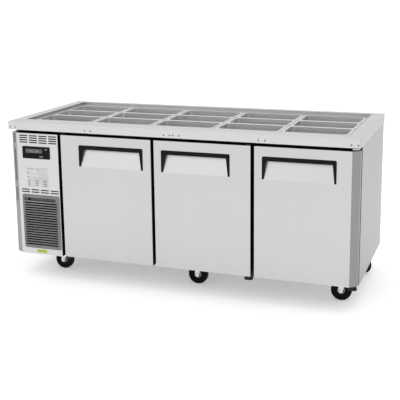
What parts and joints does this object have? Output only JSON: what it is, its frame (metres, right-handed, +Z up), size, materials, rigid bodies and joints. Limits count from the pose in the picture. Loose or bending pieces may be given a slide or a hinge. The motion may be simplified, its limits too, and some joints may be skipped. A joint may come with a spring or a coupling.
{
  "type": "refrigerated sandwich prep table",
  "caption": "Refrigerated prep table on casters: hinged doors, a side machine compartment and an open well of lift-out food pans in a flat steel rim.",
  "frame": {"origin": "on the floor under the middle of the table", "axes": "+X to the right along the length, +Y from the doors to the back, +Z up"},
  "size_m": [1.8, 0.762, 0.825],
  "materials": {
    "casing_steel": "brushed",
    "door_steel": "brushed",
    "liner_steel": "satin",
    "pan_steel": "satin",
    "foam": "matte",
    "coated_wire": "epoxy coated",
    "zinc": "bright zinc",
    "bright_steel": "bright plated",
    "black_metal": "satin black",
    "black_plastic": "satin",
    "key_plastic": "satin",
    "grille_plastic": "satin",
    "gasket_rubber": "matte",
    "wheel_rubber": "matte",
    "coil_aluminium": "mill"
  },
  "bodies": {
    "cabinet": {"worktop": "casing_steel", "pan_rail": "liner_steel", "outer_casing": "casing_steel", "insulation": "foam", "cabinet_liner": "liner_steel", "mullion_posts": "liner_steel", "wire_shelves": "coated_wire", "hinge_brackets": "black_metal", "louvre_panel": "casing_steel", "controller_housing": "black_plastic", "condenser": "coil_aluminium", "evaporator": "coil_aluminium", "fan_motors": "black_metal", "compressor": "black_metal", "caster_plates": "zinc", "fasteners": "zinc"},
    "door_1": {"door_1_panel": "door_steel", "door_1_gasket": "gasket_rubber", "door_1_handle": "black_plastic", "door_1_foam": "foam"},
    "door_2": {"door_2_panel": "door_steel", "door_2_gasket": "gasket_rubber", "door_2_handle": "black_plastic", "door_2_foam": "foam"},
    "door_3": {"door_3_panel": "door_steel", "door_3_gasket": "gasket_rubber", "door_3_handle": "black_plastic", "door_3_foam": "foam"},
    "pan_1_front": {"pan_1_front": "pan_steel"},
    "pan_1_middle": {"pan_1_middle": "pan_steel"},
    "pan_1_back": {"pan_1_back": "pan_steel"},
    "pan_2_front": {"pan_2_front": "pan_steel"},
    "pan_2_middle": {"pan_2_middle": "pan_steel"},
    "pan_2_back": {"pan_2_back": "pan_steel"},
    "pan_3_front": {"pan_3_front": "pan_steel"},
    "pan_3_middle": {"pan_3_middle": "pan_steel"},
    "pan_3_back": {"pan_3_back": "pan_steel"},
    "pan_4_front": {"pan_4_front": "pan_steel"},
    "pan_4_middle": {"pan_4_middle": "pan_steel"},
    "pan_4_back": {"pan_4_back": "pan_steel"},
    "pan_5_front": {"pan_5_front": "pan_steel"},
    "pan_5_middle": {"pan_5_middle": "pan_steel"},
    "pan_5_back": {"pan_5_back": "pan_steel"},
    "caster_front_left": {"caster_fork_front_left": "bright_steel"},
    "wheel_front_left": {"caster_wheel_front_left": "wheel_rubber"},
    "caster_front_middle": {"caster_fork_front_middle": "bright_steel"},
    "wheel_front_middle": {"caster_wheel_front_middle": "wheel_rubber"},
    "caster_front_right": {"caster_fork_front_right": "bright_steel"},
    "wheel_front_right": {"caster_wheel_front_right": "wheel_rubber"},
    "caster_rear_left": {"caster_fork_rear_left": "bright_steel"},
    "wheel_rear_left": {"caster_wheel_rear_left": "wheel_rubber"},
    "caster_rear_middle": {"caster_fork_rear_middle": "bright_steel"},
    "wheel_rear_middle": {"caster_wheel_rear_middle": "wheel_rubber"},
    "caster_rear_right": {"caster_fork_rear_right": "bright_steel"},
    "wheel_rear_right": {"caster_wheel_rear_right": "wheel_rubber"},
    "filter_grille": {"filter_grille": "grille_plastic"},
    "grille_knob": {"grille_knob": "black_plastic"},
    "controller_key": {"controller_key": "key_plastic"},
    "condenser_fan": {"condenser_fan": "black_plastic"},
    "evaporator_fan": {"evaporator_fan": "black_plastic"}
  },
  "joints": [
    {"name": "door_1_hinge", "type": "hinge", "parent": "cabinet", "child": "door_1", "pos_m": [-0.5905, -0.366, 0.448], "axis": [0, 0, 1], "range_deg": [-95, 0]},
    {"name": "door_2_hinge", "type": "hinge", "parent": "cabinet", "child": "door_2", "pos_m": [0.3804, -0.366, 0.448], "axis": [0, 0, 1], "range_deg": [0, 95]},
    {"name": "door_3_hinge", "type": "hinge", "parent": "cabinet", "child": "door_3", "pos_m": [0.874, -0.356, 0.448], "axis": [0, 0, 1], "range_deg": [0, 95]},
    {"name": "pan_1_front_lift", "type": "slide", "parent": "cabinet", "child": "pan_1_front", "axis": [0, 0, 1], "range_m": [0, 0.15]},
    {"name": "pan_1_middle_lift", "type": "slide", "parent": "cabinet", "child": "pan_1_middle", "axis": [0, 0, 1], "range_m": [0, 0.15]},
    {"name": "pan_1_back_lift", "type": "slide", "parent": "cabinet", "child": "pan_1_back", "axis": [0, 0, 1], "range_m": [0, 0.15]},
    {"name": "pan_2_front_lift", "type": "slide", "parent": "cabinet", "child": "pan_2_front", "axis": [0, 0, 1], "range_m": [0, 0.15]},
    {"name": "pan_2_middle_lift", "type": "slide", "parent": "cabinet", "child": "pan_2_middle", "axis": [0, 0, 1], "range_m": [0, 0.15]},
    {"name": "pan_2_back_lift", "type": "slide", "parent": "cabinet", "child": "pan_2_back", "axis": [0, 0, 1], "range_m": [0, 0.15]},
    {"name": "pan_3_front_lift", "type": "slide", "parent": "cabinet", "child": "pan_3_front", "axis": [0, 0, 1], "range_m": [0, 0.15]},
    {"name": "pan_3_middle_lift", "type": "slide", "parent": "cabinet", "child": "pan_3_middle", "axis": [0, 0, 1], "range_m": [0, 0.15]},
    {"name": "pan_3_back_lift", "type": "slide", "parent": "cabinet", "child": "pan_3_back", "axis": [0, 0, 1], "range_m": [0, 0.15]},
    {"name": "pan_4_front_lift", "type": "slide", "parent": "cabinet", "child": "pan_4_front", "axis": [0, 0, 1], "range_m": [0, 0.15]},
    {"name": "pan_4_middle_lift", "type": "slide", "parent": "cabinet", "child": "pan_4_middle", "axis": [0, 0, 1], "range_m": [0, 0.15]},
    {"name": "pan_4_back_lift", "type": "slide", "parent": "cabinet", "child": "pan_4_back", "axis": [0, 0, 1], "range_m": [0, 0.15]},
    {"name": "pan_5_front_lift", "type": "slide", "parent": "cabinet", "child": "pan_5_front", "axis": [0, 0, 1], "range_m": [0, 0.15]},
    {"name": "pan_5_middle_lift", "type": "slide", "parent": "cabinet", "child": "pan_5_middle", "axis": [0, 0, 1], "range_m": [0, 0.15]},
    {"name": "pan_5_back_lift", "type": "slide", "parent": "cabinet", "child": "pan_5_back", "axis": [0, 0, 1], "range_m": [0, 0.15]},
    {"name": "caster_front_left_swivel", "type": "hinge", "parent": "cabinet", "child": "caster_front_left", "pos_m": [-0.673, -0.2, 0.11], "axis": [0, 0, 1], "continuous": true},
    {"name": "wheel_front_left_roll", "type": "hinge", "parent": "caster_front_left", "child": "wheel_front_left", "pos_m": [-0.703, -0.2, 0.05], "axis": [0, -1, 0], "continuous": true},
    {"name": "caster_front_middle_swivel", "type": "hinge", "parent": "cabinet", "child": "caster_front_middle", "pos_m": [0.095, -0.2, 0.11], "axis": [0, 0, 1], "continuous": true},
    {"name": "wheel_front_middle_roll", "type": "hinge", "parent": "caster_front_middle", "child": "wheel_front_middle", "pos_m": [0.065, -0.2, 0.05], "axis": [0, -1, 0], "continuous": true},
    {"name": "caster_front_right_swivel", "type": "hinge", "parent": "cabinet", "child": "caster_front_right", "pos_m": [0.827, -0.2, 0.11], "axis": [0, 0, 1], "continuous": true},
    {"name": "wheel_front_right_roll", "type": "hinge", "parent": "caster_front_right", "child": "wheel_front_right", "pos_m": [0.797, -0.2, 0.05], "axis": [0, -1, 0], "continuous": true},
    {"name": "caster_rear_left_swivel", "type": "hinge", "parent": "cabinet", "child": "caster_rear_left", "pos_m": [-0.8, 0.25, 0.11], "axis": [0, 0, 1], "continuous": true},
    {"name": "wheel_rear_left_roll", "type": "hinge", "parent": "caster_rear_left", "child": "wheel_rear_left", "pos_m": [-0.83, 0.25, 0.05], "axis": [0, -1, 0], "continuous": true},
    {"name": "caster_rear_middle_swivel", "type": "hinge", "parent": "cabinet", "child": "caster_rear_middle", "pos_m": [0.095, 0.25, 0.11], "axis": [0, 0, 1], "continuous": true},
    {"name": "wheel_rear_middle_roll", "type": "hinge", "parent": "caster_rear_middle", "child": "wheel_rear_middle", "pos_m": [0.065, 0.25, 0.05], "axis": [0, -1, 0], "continuous": true},
    {"name": "caster_rear_right_swivel", "type": "hinge", "parent": "cabinet", "child": "caster_rear_right", "pos_m": [0.812, 0.235, 0.11], "axis": [0, 0, 1], "continuous": true},
    {"name": "wheel_rear_right_roll", "type": "hinge", "parent": "caster_rear_right", "child": "wheel_rear_right", "pos_m": [0.83498, 0.21572, 0.05], "axis": [0.6428, 0.766, 0], "continuous": true},
    {"name": "filter_grille_pull", "type": "slide", "parent": "cabinet", "child": "filter_grille", "axis": [0, -1, 0], "range_m": [0, 0.08]},
    {"name": "grille_knob_turn", "type": "hinge", "parent": "filter_grille", "child": "grille_knob", "pos_m": [-0.801, -0.378, 0.421], "axis": [0, 1, 0], "range_deg": [0, 90]},
    {"name": "controller_key_press", "type": "slide", "parent": "cabinet", "child": "controller_key", "axis": [0, 1, 0], "range_m": [0, 0.001], "stiffness_N_per_m": 600},
    {"name": "condenser_fan_spin", "type": "hinge", "parent": "cabinet", "child": "condenser_fan", "pos_m": [-0.73, -0.275, 0.3], "axis": [0, 1, 0], "continuous": true},
    {"name": "evaporator_fan_spin", "type": "hinge", "parent": "cabinet", "child": "evaporator_fan", "pos_m": [-0.486, 0.03, 0.56], "axis": [1, 0, 0], "continuous": true}
  ]
}
